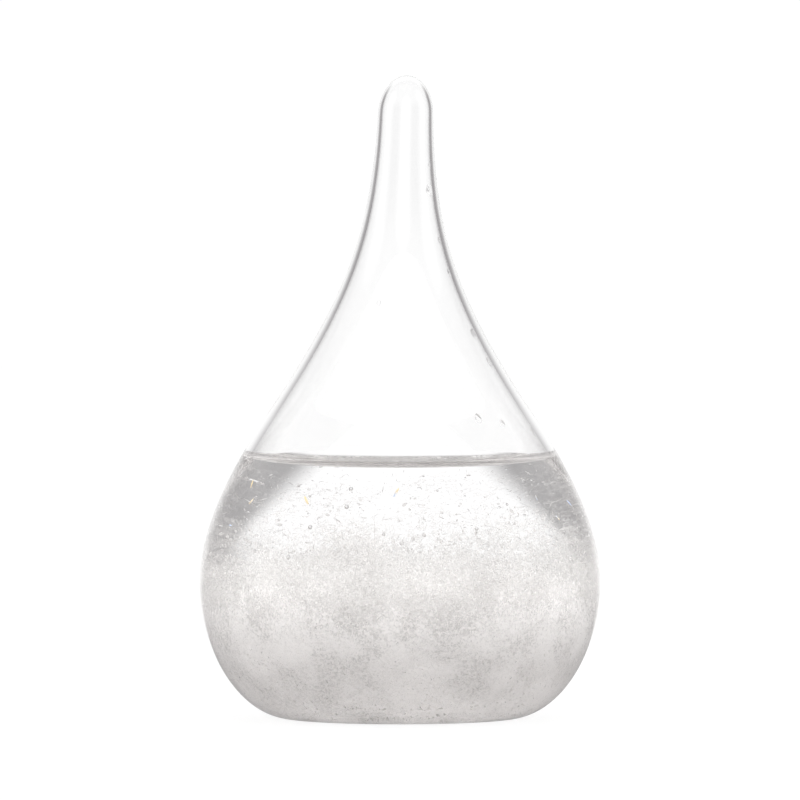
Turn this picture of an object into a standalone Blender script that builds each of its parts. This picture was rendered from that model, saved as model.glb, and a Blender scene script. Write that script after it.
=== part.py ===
"""Storm glass: a sealed blown-glass drop, half full of liquid with crystals in it.

The drop stands on the flat ring of its foot. It was filled through a hole in the foot, which a
silicone stopper closes from below. The frame is metres, +Z up, with the origin at the middle of
the foot, in the plane that the glass stands on.
"""

import functools
import math

import bmesh
import bpy
from mathutils import Matrix, Vector

MM = 0.001

# The glass drop, outside
HEIGHT = 80.0 * MM
BULB_RADIUS = 25.0 * MM
BELLY_HEIGHT = 17.0 * MM  # where the bulb is widest
FOOT_RADIUS = 13.5 * MM  # outer edge of the flat that it stands on
SHOULDER_RADIUS = 16.45 * MM  # where the bulb's curve turns into the neck's
SHOULDER_HEIGHT = 38.1 * MM
SHOULDER_SLOPE = 0.67  # how fast the radius falls with height there
TIP_RADIUS = 3.45 * MM  # where the neck meets the dome of the tip
TIP_SLOPE = 0.033  # how fast the radius still falls with height there
TIP_DOME = 5.0 * MM  # height of the dome
TIP_LEAN = 0.85 * MM  # how far the tip was drawn off the axis, towards +X

# How far each curve runs on along its end's direction, as a share of the curve's own span
FOOT_PULL = 0.57
BELLY_PULL_BELOW = 0.49
BELLY_PULL_ABOVE = 0.28
SHOULDER_PULL_BELOW = 0.38
SHOULDER_PULL_ABOVE = 0.37
TIP_PULL = 0.41
LEAN_POWER = 1.5  # the lean starts at the shoulder and grows by this power of the height

# The glass wall
WALL_BULB = 1.1 * MM
WALL_TIP = 0.4 * MM
FLOOR = 2.4 * MM
RECESS_RADIUS = 8.0 * MM  # the kick pressed up into the foot
RECESS_DEPTH = 1.2 * MM
FILL_HOLE_RADIUS = 3.5 * MM
FIRE_POLISH = 0.25 * MM  # the softened edge of the recess and of the hole

# The stopper and the bead of sealant round it
STOPPER_CLEARANCE = 0.25 * MM  # all round the plug, in the hole and in the recess
TABLE_CLEARANCE = 0.15 * MM  # under the plug's flange
SEALANT_WIDTH = 2.0 * MM  # from the flange's rim to the wall of the recess
SHANK_INSIDE = 2.2 * MM  # how far the shank stands up inside the drop
GROOVE_DEPTH = 0.3 * MM
GROOVES = 2
DIMPLE_RADIUS = 1.4 * MM
DIMPLE_DEPTH = 0.3 * MM
BEAD_LIP = 0.25 * MM  # height of the bead's thin inner edge

# The filling
GAP = 0.3 * MM  # kept between solids that touch on the real object
LIQUID_LEVEL = 30.7 * MM
MENISCUS_RISE = 2.2 * MM
MENISCUS_WIDTH = 2.4 * MM
BED_DEPTH = 9.0 * MM  # top of the settled crystals, above the foot
BED_RIPPLE = 0.9 * MM
RIPPLE_LENGTH = 17.0 * MM
FERN_THICKNESS = 0.5 * MM
STEM_WIDTH = 0.5 * MM
BRANCH_ANGLE = math.radians(58)
SURFACE_FLAKE_THICKNESS = 0.35 * MM

# Each fern crystal: distance out as a share of the bed's radius, bearing in degrees, height as a
# share of the clear liquid above the bed, the way its blade faces in degrees
FERNS = [
    (0.62, 205, 0.52, 20),
    (0.58, 262, 0.44, -35),
    (0.66, 322, 0.56, 50),
    (0.20, 120, 0.62, 5),
    (0.60, 30, 0.42, 70),
    (0.62, 100, 0.50, -10),
]

# Each flake on the surface: distance out as a share of the clear surface's radius, bearing and
# turn in degrees, length and width
SURFACE_FLAKES = [
    (0.93, 243, 25, 2.6 * MM, 0.9 * MM),
    (0.90, 288, -40, 3.4 * MM, 0.6 * MM),
    (0.92, 312, 10, 2.2 * MM, 1.1 * MM),
]

# Each drop of condensation inside the neck: height as a share of the wall above the liquid,
# bearing in degrees, half its own height
DROPLETS = [
    (0.855, -8, 0.45 * MM),
    (0.78, -28, 0.80 * MM),
    (0.63, 6, 0.45 * MM),
    (0.535, -12, 0.60 * MM),
    (0.445, -111, 0.35 * MM),
    (0.35, -20, 0.80 * MM),
    (0.27, 3, 0.60 * MM),
    (0.105, -53, 0.70 * MM),
    (0.09, -40, 0.45 * MM),
    (0.065, -12, 0.50 * MM),
]
DROPLET_DEPTH = 0.35 * MM  # half its thickness, out from the wall
DROPLET_WIDTH = 0.7  # its width beside its height

SEGMENTS = 40  # round the axis
FOOT_STEPS, BULB_STEPS, NECK_STEPS, DOME_STEPS = 9, 8, 12, 6
BED_STEPS = 9
DROPLET_SEGMENTS, DROPLET_RINGS = 12, 8
FERN_BRANCHES = 4


def clear_scene():
    for obj in list(bpy.data.objects):
        bpy.data.objects.remove(obj, do_unlink=True)


def collection(name, shown=True):
    made = bpy.data.collections.new(name)
    made.hide_render = not shown
    bpy.context.scene.collection.children.link(made)
    return made


def material(name, colour, roughness, transmission=0.0, ior=1.45):
    made = bpy.data.materials.new(name)
    made.use_nodes = True
    shader = made.node_tree.nodes["Principled BSDF"]
    shader.inputs["Base Color"].default_value = (*colour, 1.0)
    shader.inputs["Roughness"].default_value = roughness
    shader.inputs["Metallic"].default_value = 0.0
    shader.inputs["Transmission Weight"].default_value = transmission
    shader.inputs["IOR"].default_value = ior
    return made


# ---------------------------------------------------------------- outlines of the glass


def bezier(start, start_pull, end_pull, end, steps):
    """Points from start to end on a cubic curve, each with the curve's outward normal there."""
    found = []
    for i in range(steps + 1):
        t = i / steps
        s = 1 - t
        point = s**3 * start + 3 * s * s * t * start_pull + 3 * s * t * t * end_pull + t**3 * end
        slope = (
            3 * s * s * (start_pull - start)
            + 6 * s * t * (end_pull - start_pull)
            + 3 * t * t * (end - end_pull)
        )
        found.append((point, Vector((slope.y, -slope.x)).normalized()))
    return found


def outer_outline():
    """The drop's outside as (radius, height) with its normal, from the foot's edge to the tip."""
    foot = Vector((FOOT_RADIUS, 0))
    belly = Vector((BULB_RADIUS, BELLY_HEIGHT))
    shoulder = Vector((SHOULDER_RADIUS, SHOULDER_HEIGHT))
    tip = Vector((TIP_RADIUS, HEIGHT - TIP_DOME))
    up = Vector((0, 1))
    along_shoulder = Vector((-SHOULDER_SLOPE, 1))
    along_tip = Vector((-TIP_SLOPE, 1))
    bulb_rise = shoulder.y - belly.y
    neck_rise = tip.y - shoulder.y
    heel = bezier(
        foot,
        foot + Vector((FOOT_PULL * (BULB_RADIUS - FOOT_RADIUS), 0)),
        belly - up * BELLY_PULL_BELOW * BELLY_HEIGHT,
        belly,
        FOOT_STEPS,
    )
    bulb = bezier(
        belly,
        belly + up * BELLY_PULL_ABOVE * bulb_rise,
        shoulder - along_shoulder * SHOULDER_PULL_BELOW * bulb_rise,
        shoulder,
        BULB_STEPS,
    )
    neck = bezier(
        shoulder,
        shoulder + along_shoulder * SHOULDER_PULL_ABOVE * neck_rise,
        tip - along_tip * TIP_PULL * neck_rise,
        tip,
        NECK_STEPS,
    )
    dome = []
    for i in range(1, DOME_STEPS + 1):
        angle = math.pi / 2 * i / DOME_STEPS
        point = Vector((TIP_RADIUS * math.cos(angle), tip.y + TIP_DOME * math.sin(angle)))
        normal = Vector((TIP_DOME * math.cos(angle), TIP_RADIUS * math.sin(angle))).normalized()
        dome.append((point, normal))
    return heel + bulb[1:] + neck[1:] + dome


def wall_at(height):
    """The wall's thickness: the floor's at the foot, the bulb's at its belly, the tip's at the top."""
    if height < BELLY_HEIGHT:
        share = 1 - height / BELLY_HEIGHT
        return WALL_BULB + (FLOOR - WALL_BULB) * share**3
    if height < SHOULDER_HEIGHT:
        return WALL_BULB
    share = (height - SHOULDER_HEIGHT) / (HEIGHT - SHOULDER_HEIGHT)
    return WALL_BULB + (WALL_TIP - WALL_BULB) * share


def inner_outline():
    """The drop's inside as (radius, height), from the edge of its floor to the tip."""
    points = [point - normal * wall_at(point.y) for point, normal in outer_outline()]
    points[-1].x = 0
    return points


@functools.cache
def inner_radius(height):
    """The inside's radius at a height."""
    points = inner_outline()
    for below, above in zip(points, points[1:]):
        if below.y <= height <= above.y:
            share = (height - below.y) / (above.y - below.y)
            return below.x + (above.x - below.x) * share
    return 0.0


def lean(height):
    """How far the neck's axis has moved towards +X at a height."""
    share = max(0.0, (height - SHOULDER_HEIGHT) / (HEIGHT - SHOULDER_HEIGHT))
    return TIP_LEAN * share**LEAN_POWER


# ---------------------------------------------------------------- making objects


def place(obj, where, finish):
    obj.data.materials.append(finish)
    where.objects.link(obj)
    return obj


def turned(name, outline, where, finish, ring=False):
    """A solid turned about Z from an outline of (radius, height).

    A ring's outline is a closed loop. Any other starts and ends on the axis.
    """
    mesh = bpy.data.meshes.new(name)
    edges = [(i, i + 1) for i in range(len(outline) - 1)]
    if ring:
        edges.append((len(outline) - 1, 0))
    mesh.from_pydata([(point[0], 0, point[1]) for point in outline], edges, [])
    obj = place(bpy.data.objects.new(name, mesh), where, finish)
    turn = obj.modifiers.new("Turn", "SCREW")
    turn.axis = "Z"
    turn.steps = turn.render_steps = SEGMENTS
    turn.use_merge_vertices = True
    turn.merge_threshold = 0.001 * MM
    turn.use_smooth_shade = True
    return obj


def as_mesh(obj):
    """The object again, as a plain mesh of what its modifiers or its curve made, doubles merged."""
    name = obj.name
    finish = obj.data.materials[0]
    where = obj.users_collection[0]
    bpy.context.view_layer.update()
    graph = bpy.context.evaluated_depsgraph_get()
    mesh = bpy.data.meshes.new_from_object(obj.evaluated_get(graph))
    matrix = obj.matrix_world.copy()
    bpy.data.objects.remove(obj, do_unlink=True)
    work = bmesh.new()
    work.from_mesh(mesh)
    bmesh.ops.remove_doubles(work, verts=work.verts, dist=0.001 * MM)
    bmesh.ops.recalc_face_normals(work, faces=work.faces)
    work.to_mesh(mesh)
    work.free()
    mesh.materials.clear()
    made = place(bpy.data.objects.new(name, mesh), where, finish)
    made.matrix_world = matrix
    return made


def flat_blade(name, outline, thickness, where, finish):
    """An outline of (across, up) as a flat blade of that thickness, standing in the XZ plane."""
    curve = bpy.data.curves.new(name, "CURVE")
    curve.dimensions = "2D"
    curve.fill_mode = "BOTH"
    curve.extrude = thickness / 2
    spline = curve.splines.new("POLY")
    spline.points.add(len(outline) - 1)
    for point, (across, up) in zip(spline.points, outline):
        point.co = (across, up, 0, 1)
    spline.use_cyclic_u = True
    obj = place(bpy.data.objects.new(name, curve), where, finish)
    obj.rotation_euler = (math.pi / 2, 0, 0)
    made = as_mesh(obj)
    made.data.transform(made.matrix_world)
    made.matrix_world = Matrix.Identity(4)
    return made


def smooth(obj, angle=math.radians(35)):
    obj.data.shade_smooth()
    obj.data.set_sharp_from_angle(angle=angle)


# ---------------------------------------------------------------- the pieces


def make_glass(where, finish):
    """The drop: its outside from the tip down, the recess, the hole, and its inside up to the tip."""
    outside = [point for point, _ in reversed(outer_outline())]
    outside[0].x = 0
    foot = [
        (RECESS_RADIUS + FIRE_POLISH, 0),
        (RECESS_RADIUS, FIRE_POLISH),
        (RECESS_RADIUS, RECESS_DEPTH),
        (FILL_HOLE_RADIUS + FIRE_POLISH, RECESS_DEPTH),
        (FILL_HOLE_RADIUS, RECESS_DEPTH + FIRE_POLISH),
        (FILL_HOLE_RADIUS, FLOOR - FIRE_POLISH),
        (FILL_HOLE_RADIUS + FIRE_POLISH, FLOOR),
    ]
    obj = as_mesh(turned("glass_drop", [*outside, *foot, *inner_outline()], where, finish))
    for vertex in obj.data.vertices:
        vertex.co.x += lean(vertex.co.z)
    smooth(obj)
    return obj


def make_stopper(where, finish):
    """A silicone plug: a flange that lies in the recess and a grooved shank that fills the hole.

    Its origin is on the axis that it is pulled out along.
    """
    top_of_flange = RECESS_DEPTH - STOPPER_CLEARANCE
    bottom = TABLE_CLEARANCE
    rim = RECESS_RADIUS - SEALANT_WIDTH
    shank = FILL_HOLE_RADIUS - STOPPER_CLEARANCE
    end = FLOOR + SHANK_INSIDE
    chamfer = GROOVE_DEPTH
    outline = [(0, end), (shank - 2 * chamfer, end), (shank, end - 2 * chamfer)]
    first_groove = top_of_flange + 2 * chamfer
    pitch = (end - 3 * chamfer - first_groove) / GROOVES
    for i in reversed(range(GROOVES)):
        low = first_groove + i * pitch
        outline += [
            (shank, low + 0.7 * pitch),
            (shank - GROOVE_DEPTH, low + 0.55 * pitch),
            (shank - GROOVE_DEPTH, low + 0.25 * pitch),
            (shank, low + 0.1 * pitch),
        ]
    edge = (top_of_flange - bottom) / 4
    outline += [
        (shank, top_of_flange),
        (rim - edge, top_of_flange),
        (rim, top_of_flange - edge),
        (rim, bottom + edge),
        (rim - edge, bottom),
        (DIMPLE_RADIUS, bottom),
        (DIMPLE_RADIUS - DIMPLE_DEPTH, bottom + DIMPLE_DEPTH),
        (0, bottom + DIMPLE_DEPTH),
    ]
    return turned("fill_stopper", outline, where, finish)


def make_bead(where, finish):
    """The ring of sealant between the flange's rim and the wall of the recess, deeper at the wall."""
    inner = RECESS_RADIUS - SEALANT_WIDTH + GAP
    outer = RECESS_RADIUS - GAP
    top = RECESS_DEPTH - GAP
    low = top - 2 * BEAD_LIP
    middle = (inner + outer) / 2
    outline = [
        (inner, top),
        (outer, top),
        (outer, low),
        (middle, top - 1.2 * BEAD_LIP),
        (inner, top - BEAD_LIP),
    ]
    return turned("sealant_bead", outline, where, finish, ring=True)


def bed_swell(x, y):
    """How far the settled crystals rise above their mean level at a place, fading out at the wall."""
    reach = inner_radius(BED_DEPTH)
    fade = max(0.0, 1 - (x * x + y * y) / (reach * reach))
    turn = 2 * math.pi / RIPPLE_LENGTH
    crossed = math.sin(turn * x + 0.6) * math.cos(0.8 * turn * y - 0.4)
    slanting = 0.5 * math.cos(0.7 * turn * (x + y))
    return BED_RIPPLE * fade * (crossed + slanting)


def wall_points(low, high):
    """(radius, height) points a gap inside the glass from one height up to another."""
    between = [point for point in inner_outline() if low < point.y < high]
    points = [Vector((inner_radius(low), low)), *between, Vector((inner_radius(high), high))]
    return [(point.x - GAP, point.y) for point in points]


def make_bed(where, finish):
    """The crystals that have settled on the floor, with a pocket round the stopper's shank."""
    floor = FLOOR + GAP
    pocket_radius = FILL_HOLE_RADIUS + GAP
    pocket_top = FLOOR + SHANK_INSIDE + GAP
    edge = inner_radius(BED_DEPTH) - GAP
    top = [(edge * i / BED_STEPS, BED_DEPTH) for i in range(BED_STEPS)]
    side = list(reversed(wall_points(floor, BED_DEPTH)))
    pocket = [(pocket_radius, floor), (pocket_radius, pocket_top), (0, pocket_top)]
    obj = as_mesh(turned("crystal_bed", [*top, *side, *pocket], where, finish))
    for vertex in obj.data.vertices:
        if vertex.co.z > BED_DEPTH - 0.01 * MM:
            vertex.co.z += bed_swell(vertex.co.x, vertex.co.y)
    smooth(obj)
    return obj


def make_liquid(where, finish):
    """The clear liquid from the bed up, with a meniscus that climbs the wall."""
    bottom = BED_DEPTH + GAP
    bottom_edge = inner_radius(bottom) - GAP
    rim = LIQUID_LEVEL + MENISCUS_RISE
    rim_radius = inner_radius(rim) - GAP
    flat_edge = rim_radius - MENISCUS_WIDTH
    steps = 4
    climb = []
    for i in range(steps + 1):
        share = i / steps
        climb.append((flat_edge + MENISCUS_WIDTH * share, LIQUID_LEVEL + MENISCUS_RISE * share**3))
    side = list(reversed(wall_points(bottom, rim)))[1:]
    under = [(bottom_edge * i / BED_STEPS, bottom) for i in reversed(range(BED_STEPS))]
    outline = [(0, LIQUID_LEVEL), (flat_edge / 2, LIQUID_LEVEL), *climb, *side, *under]
    obj = as_mesh(turned("storm_liquid", outline, where, finish))
    for vertex in obj.data.vertices:
        if vertex.co.z < bottom + 0.01 * MM:
            vertex.co.z += bed_swell(vertex.co.x, vertex.co.y)
    smooth(obj)
    return obj


def fern_outline(height):
    """A feather crystal's outline as (across, up): a stem whose side branches shorten upwards."""
    half = STEM_WIDTH / 2
    right = [(half, 0)]
    pitch = height / (FERN_BRANCHES + 1.5)
    direction = Vector((math.sin(BRANCH_ANGLE), math.cos(BRANCH_ANGLE)))
    for i in range(FERN_BRANCHES):
        root = pitch * (i + 0.8)
        length = (height - root) * 0.42
        tip = Vector((half, root)) + direction * length
        right += [(half, root), (tip.x, tip.y), (tip.x - half, tip.y + half), (half, root + 1.6 * half)]
    left = [(-across, up) for across, up in reversed(right)]
    return [*right, (0, height), *left]


def make_ferns(where, cutters, liquid, finish):
    """The feather crystals that stand on the bed, each in a pocket in the liquid, open at the bed."""
    room = LIQUID_LEVEL - BED_DEPTH
    reach = inner_radius(BED_DEPTH)
    for number, (out, bearing, tall, facing) in enumerate(FERNS, 1):
        angle = math.radians(bearing)
        x, y = reach * out * math.cos(angle), reach * out * math.sin(angle)
        height = room * tall
        foot = BED_DEPTH + bed_swell(x, y) + 2 * GAP
        spot = Matrix.Translation((x, y, foot)) @ Matrix.Rotation(math.radians(facing), 4, "Z")
        fern = flat_blade(f"crystal_fern_{number}", fern_outline(height), FERN_THICKNESS, where, finish)
        fern.matrix_world = spot
        width = max(across for across, _ in fern_outline(height)) + GAP
        below = 2 * BED_RIPPLE + 3 * GAP
        leaf = [
            (-STEM_WIDTH, -below),
            (STEM_WIDTH, -below),
            (width, height * 0.2),
            (width, height * 0.5),
            (STEM_WIDTH, height + GAP),
            (-STEM_WIDTH, height + GAP),
            (-width, height * 0.5),
            (-width, height * 0.2),
        ]
        pocket = flat_blade(f"pocket_{number}", leaf, FERN_THICKNESS + 2 * GAP, cutters, finish)
        pocket.matrix_world = spot
        pocket.hide_render = True
        pocket.display_type = "WIRE"
        cut = liquid.modifiers.new(f"Pocket {number}", "BOOLEAN")
        cut.operation = "DIFFERENCE"
        cut.object = pocket


def make_surface_flakes(where, finish):
    """Slim six-sided crystals that float on the clear surface, inside the meniscus."""
    clear = inner_radius(LIQUID_LEVEL + MENISCUS_RISE) - GAP - MENISCUS_WIDTH
    for number, (out, bearing, turn, length, width) in enumerate(SURFACE_FLAKES, 1):
        angle = math.radians(bearing)
        outline = [
            (-length / 2, 0),
            (-length / 3, -width / 2),
            (length / 3, -width / 2),
            (length / 2, 0),
            (length / 3, width / 2),
            (-length / 3, width / 2),
        ]
        flake = flat_blade(f"surface_crystal_{number}", outline, SURFACE_FLAKE_THICKNESS, where, finish)
        distance = clear * out - length / 2
        flake.data.transform(Matrix.Rotation(-math.pi / 2, 4, "X"))
        flake.matrix_world = Matrix.Translation(
            (
                distance * math.cos(angle),
                distance * math.sin(angle),
                LIQUID_LEVEL + GAP + SURFACE_FLAKE_THICKNESS / 2,
            )
        ) @ Matrix.Rotation(math.radians(turn), 4, "Z")


def make_droplets(where, finish):
    """The beads of condensation on the inside of the neck, from its tip down."""
    low = LIQUID_LEVEL + MENISCUS_RISE
    high = HEIGHT - TIP_DOME
    for number, (up, bearing, half_height) in enumerate(DROPLETS, 1):
        height = low + (high - low) * up
        radius = inner_radius(height)
        rise = inner_radius(height + half_height) - inner_radius(height - half_height)
        tilt = math.atan2(rise, 2 * half_height)
        mesh = bpy.data.meshes.new(f"neck_droplet_{number}")
        work = bmesh.new()
        bmesh.ops.create_uvsphere(
            work, u_segments=DROPLET_SEGMENTS, v_segments=DROPLET_RINGS, radius=1.0
        )
        work.to_mesh(mesh)
        work.free()
        mesh.transform(
            Matrix.Diagonal((DROPLET_DEPTH, half_height * DROPLET_WIDTH, half_height, 1))
        )
        mesh.shade_smooth()
        droplet = place(bpy.data.objects.new(mesh.name, mesh), where, finish)
        # A flat bead on a curved wall needs room for the wall's curve behind its edges.
        sagitta = (half_height * DROPLET_WIDTH) ** 2 / (2 * radius)
        distance = radius - DROPLET_DEPTH - GAP - sagitta
        turn = Matrix.Rotation(math.radians(bearing), 4, "Z")
        droplet.matrix_world = (
            Matrix.Translation((lean(height), 0, height))
            @ turn
            @ Matrix.Translation((distance, 0, 0))
            @ Matrix.Rotation(tilt, 4, "Y")
        )


def main():
    clear_scene()
    parts = collection("storm_glass")
    cutters = collection("cutters", shown=False)
    glass = material("clear_glass", (0.97, 0.98, 0.98), 0.0, transmission=1.0, ior=1.47)
    liquid = material("storm_liquid", (0.97, 0.97, 0.97), 0.0, transmission=1.0, ior=1.36)
    crystal = material("camphor_crystal", (0.88, 0.87, 0.87), 0.35)
    water = material("condensate", (0.97, 0.98, 0.98), 0.0, transmission=1.0, ior=1.34)
    silicone = material("clear_silicone", (0.80, 0.80, 0.79), 0.4, transmission=0.4, ior=1.41)
    sealant = material("clear_sealant", (0.85, 0.85, 0.83), 0.15, transmission=0.6, ior=1.45)
    make_glass(parts, glass)
    make_stopper(parts, silicone)
    make_bead(parts, sealant)
    make_bed(parts, crystal)
    filling = make_liquid(parts, liquid)
    make_ferns(parts, cutters, filling, crystal)
    make_surface_flakes(parts, crystal)
    make_droplets(parts, water)


main()
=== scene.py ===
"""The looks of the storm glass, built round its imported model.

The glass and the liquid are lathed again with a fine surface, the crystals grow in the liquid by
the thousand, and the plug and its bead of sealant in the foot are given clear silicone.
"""

import math

import bmesh
import bpy
import numpy as np
from mathutils import Matrix, Vector


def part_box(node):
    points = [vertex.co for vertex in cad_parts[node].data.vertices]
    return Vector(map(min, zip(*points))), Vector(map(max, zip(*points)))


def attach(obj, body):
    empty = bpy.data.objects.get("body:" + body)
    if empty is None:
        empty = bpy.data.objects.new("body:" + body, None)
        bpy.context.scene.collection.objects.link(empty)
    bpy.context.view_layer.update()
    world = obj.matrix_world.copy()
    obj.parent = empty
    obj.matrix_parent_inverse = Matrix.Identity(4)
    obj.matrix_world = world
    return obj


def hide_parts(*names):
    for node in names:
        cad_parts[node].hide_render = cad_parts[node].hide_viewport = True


MM = 0.001
SEED = 11

# The drop's outline, as the frame has it
BELLY_HEIGHT = 17.0 * MM
FOOT_RADIUS = 13.5 * MM
SHOULDER_RADIUS = 16.45 * MM
SHOULDER_HEIGHT = 38.1 * MM
SHOULDER_SLOPE = 0.67
TIP_RADIUS = 3.45 * MM
TIP_SLOPE = 0.033
TIP_DOME = 5.0 * MM
TIP_LEAN = 0.85 * MM
LEAN_POWER = 1.5
FOOT_PULL, BELLY_PULL_BELOW = 0.57, 0.49
BELLY_PULL_ABOVE, SHOULDER_PULL_BELOW = 0.28, 0.38
SHOULDER_PULL_ABOVE, TIP_PULL = 0.37, 0.41
WALL_BULB = 1.1 * MM
WALL_TIP = 0.4 * MM
FLOOR = 2.4 * MM
RECESS_RADIUS = 8.0 * MM
RECESS_DEPTH = 1.2 * MM
FILL_HOLE_RADIUS = 3.5 * MM
FIRE_POLISH = 0.25 * MM

# The filling
LIQUID_LEVEL = 30.7 * MM
MENISCUS_RISE = 2.2 * MM
CAPILLARY_LENGTH = 1.58 * MM  # how far out from the wall the meniscus starts
FILM = 0.01 * MM  # between the glass and what wets it

# Refractive indices
WATER_AND_SPIRIT = 1.36
GLASS = 1.47
CRYSTAL = 1.46
WATER = 1.33
SILICONE = 1.41

# The faint waviness of every clear surface
WAVE_WIDTH = 8 * MM
WAVE_HEIGHT = 0.004 * MM

# The plug's shank, which the filling stays clear of
SHANK_POCKET_RADIUS = 3.4 * MM
SHANK_POCKET_TOP = 4.7 * MM

# Fineness of the turned surfaces
TURN_STEPS = 160
CURVE_STEPS = 28
DOME_STEPS = 14
MENISCUS_STEPS = 20

# The crystals
BED_DEPTH = 7.6 * MM
BED_DENT = 0.5 * MM  # how far its side draws in from the wall between lumps
BED_SAG = 1.6 * MM  # how far its top dips between lumps
BED_STEPS = 26
FERN_FACINGS = [20, -35, 50, 5, 70, -10]
FERN_BRANCHES = 12
FERN_TWIG_PITCH = 0.35 * MM
BRANCH_ANGLE = math.radians(58)
RAFTS = 3
DROPLETS = 10
BUBBLES = 40
CLUMPS = 26  # besides the ones in the lists below, in degrees and millimetres
PLATES_PER_CLUMP = 60
CLUMP_BEARINGS = [232, 248, 262, 281, 300, 316, 222]
CLUMP_HEIGHTS = [3.4, 3.2, 3.6, 3.3, 3.5, 6.0, 8.5]
GLINTS = 8
GLINT_BEARINGS = [208, 212, 204, 322, 330]
GLINT_HEIGHTS = [29.2, 27.0, 24.0, 27.5, 25.0]
BUBBLE_BEARINGS = [238, 240, 234, 253, 252, 219]
BUBBLE_HEIGHTS = [27.9, 24.2, 20.6, 28.9, 26.7, 21.1]

# The frost: dust-fine crystals in layers, and the tone of all that is packed, with painted shade towards
# the foot
FROST_DEPTHS = [0.22 * MM, 2.0 * MM, 5.0 * MM, 10.0 * MM]
FROST_TOP = 23 * MM
FROST_FULL = 7 * MM
# painted shade: below these heights the crystals are painted greyer, above them near white
PAINTED_SHADE_FADES_FROM, PAINTED_SHADE_FADES_TO = 4.5 * MM, 19 * MM
CLOUD_SCALE = 170.0
# the shaded pair is painted shade for the lower crystals, the unshaded pair their own near-white colour;
# dark and light in each pair are random clouds
FROST_SHADED_DARK, FROST_SHADED_LIGHT = (0.56, 0.542, 0.535), (0.645, 0.625, 0.617)
FROST_UNSHADED_DARK, FROST_UNSHADED_LIGHT = (0.92, 0.907, 0.898), (0.98, 0.968, 0.96)
FROST_GLOW = 0.18  # stands for light that wanders through packed crystals, as a share of their colour

# The camera
EYE_HEIGHT = 58.0 * MM
EYE_DISTANCE = 1.0
VIEW_WIDTH = 0.0996  # what the picture takes in, across, where the drop stands
AIM_HEIGHT = 39.63 * MM

# The studio: white panels that face the drop from four sides, with dim gaps between them.
# The camera itself sees plain white behind the drop. All these values are given here.
WHITE = (1.02, 1.02, 1.02)
DIM = (0.345, 0.333, 0.339)
PANEL_FADES_FROM = math.radians(14)
PANEL_FADES_OUT = math.radians(52)
PANEL_TOP_FADES_FROM = math.radians(24)
PANEL_TOP_FADES_OUT = math.radians(42)
OVERHEAD = (1.08, 1.08, 1.08)  # a soft box above
OVERHEAD_FADES_FROM = math.radians(12)
OVERHEAD_FADES_OUT = math.radians(34)
# What lights matt surfaces instead of the studio, from the panels and from between them. It is
# brighter than white, so under other lights the crystals look darker than here.
FILL, FILL_BETWEEN = (1.8, 1.78, 1.765), (0.6, 0.59, 0.59)
TABLE_DROP = 0.05 * MM  # keeps the table clear of the foot
TABLE_COLOUR = (0.15, 0.15, 0.15, 1)
TABLE_DIM, TABLE_WHITE = 0.6, 0.86  # shares of DIM and WHITE
TABLE_LIT_FROM = 0.06  # along an axis; further out beside it, by this slant
TABLE_LIT_SLANT = 0.55
LIGHT_BOUNCES = 48  # enough for light to cross all the clear crystals


def only(obj):
    """Selects this object alone and makes it the active one."""
    bpy.ops.object.select_all(action="DESELECT")
    obj.select_set(True)
    bpy.context.view_layer.objects.active = obj


# ---------------------------------------------------------------- outlines


def bezier(start, start_pull, end_pull, end, steps):
    """Points from start to end on a cubic curve, each with the curve's outward normal there."""
    found = []
    for i in range(steps + 1):
        t = i / steps
        s = 1 - t
        point = s**3 * start + 3 * s * s * t * start_pull + 3 * s * t * t * end_pull + t**3 * end
        slope = (
            3 * s * s * (start_pull - start)
            + 6 * s * t * (end_pull - start_pull)
            + 3 * t * t * (end - end_pull)
        )
        found.append((point, Vector((slope.y, -slope.x)).normalized()))
    return found


def outer_outline(height, bulb_radius):
    """The drop's outside as (radius, height) with its normal, from the foot's edge to the tip."""
    foot = Vector((FOOT_RADIUS, 0))
    belly = Vector((bulb_radius, BELLY_HEIGHT))
    shoulder = Vector((SHOULDER_RADIUS, SHOULDER_HEIGHT))
    tip = Vector((TIP_RADIUS, height - TIP_DOME))
    up = Vector((0, 1))
    along_shoulder = Vector((-SHOULDER_SLOPE, 1))
    along_tip = Vector((-TIP_SLOPE, 1))
    bulb_rise = shoulder.y - belly.y
    neck_rise = tip.y - shoulder.y
    heel = bezier(
        foot,
        foot + Vector((FOOT_PULL * (bulb_radius - FOOT_RADIUS), 0)),
        belly - up * BELLY_PULL_BELOW * BELLY_HEIGHT,
        belly,
        CURVE_STEPS,
    )
    bulb = bezier(
        belly,
        belly + up * BELLY_PULL_ABOVE * bulb_rise,
        shoulder - along_shoulder * SHOULDER_PULL_BELOW * bulb_rise,
        shoulder,
        CURVE_STEPS,
    )
    neck = bezier(
        shoulder,
        shoulder + along_shoulder * SHOULDER_PULL_ABOVE * neck_rise,
        tip - along_tip * TIP_PULL * neck_rise,
        tip,
        CURVE_STEPS,
    )
    dome = []
    for i in range(1, DOME_STEPS + 1):
        angle = math.pi / 2 * i / DOME_STEPS
        point = Vector((TIP_RADIUS * math.cos(angle), tip.y + TIP_DOME * math.sin(angle)))
        normal = Vector((TIP_DOME * math.cos(angle), TIP_RADIUS * math.sin(angle))).normalized()
        dome.append((point, normal))
    outline = heel + bulb[1:] + neck[1:] + dome
    outline[-1][0].x = 0
    return outline


def wall_at(height, full_height):
    """The wall's thickness: the floor's at the foot, the bulb's from its belly up, the tip's at the top."""
    if height < BELLY_HEIGHT:
        share = 1 - height / BELLY_HEIGHT
        return WALL_BULB + (FLOOR - WALL_BULB) * share**3
    if height < SHOULDER_HEIGHT:
        return WALL_BULB
    share = (height - SHOULDER_HEIGHT) / (full_height - SHOULDER_HEIGHT)
    return WALL_BULB + (WALL_TIP - WALL_BULB) * share


def inner_outline(outer, full_height):
    """The drop's inside as (radius, height), from the edge of its floor to the tip."""
    points = [point - normal * wall_at(point.y, full_height) for point, normal in outer]
    points[-1].x = 0
    return points


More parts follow.
